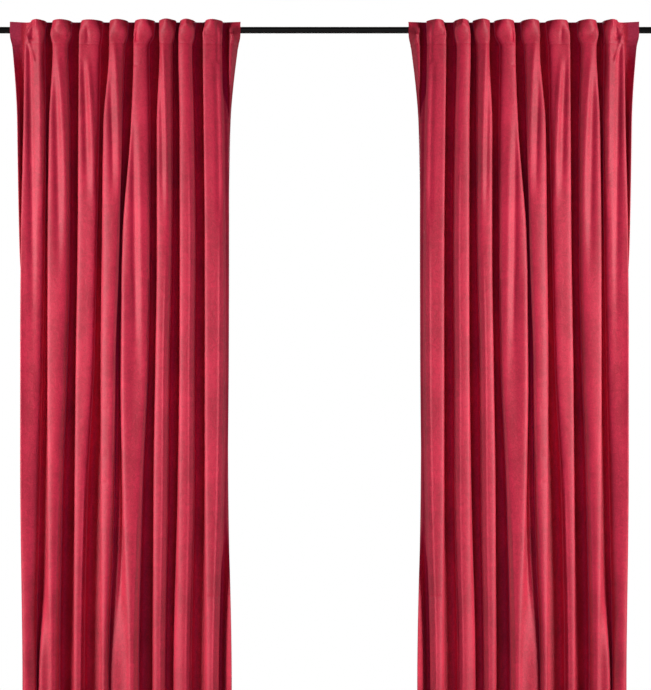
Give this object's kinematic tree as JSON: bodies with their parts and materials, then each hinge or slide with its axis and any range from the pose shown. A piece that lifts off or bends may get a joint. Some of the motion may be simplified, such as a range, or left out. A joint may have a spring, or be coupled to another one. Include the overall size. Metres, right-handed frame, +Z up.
{
  "type": "pair of curtains on a rod",
  "caption": "Pair of long velvet curtains in deep soft folds, hung by hidden back tabs from a slim round rod.",
  "frame": {"origin": "on the rod's axis, midway between the two curtains", "axes": "+X along the rod, to the right as seen from the room; +Y to the window or wall, so the fronts face -Y; +Z up"},
  "size_m": [2.4, 0.11, 2.5],
  "materials": {
    "velvet": "crimson velvet, short dense pile",
    "tab_tape": "plain woven tape, dark crimson",
    "rod_paint": "satin black"
  },
  "bodies": {
    "root": {"rod": "rod_paint", "panel_left": "velvet", "panel_right": "velvet", "tab_left_1": "tab_tape", "tab_left_2": "tab_tape", "tab_left_3": "tab_tape", "tab_left_4": "tab_tape", "tab_left_5": "tab_tape", "tab_left_6": "tab_tape", "tab_left_7": "tab_tape", "tab_left_8": "tab_tape", "tab_left_9": "tab_tape", "tab_right_1": "tab_tape", "tab_right_2": "tab_tape", "tab_right_3": "tab_tape", "tab_right_4": "tab_tape", "tab_right_5": "tab_tape", "tab_right_6": "tab_tape", "tab_right_7": "tab_tape", "tab_right_8": "tab_tape", "tab_right_9": "tab_tape"}
  },
  "joints": []
}
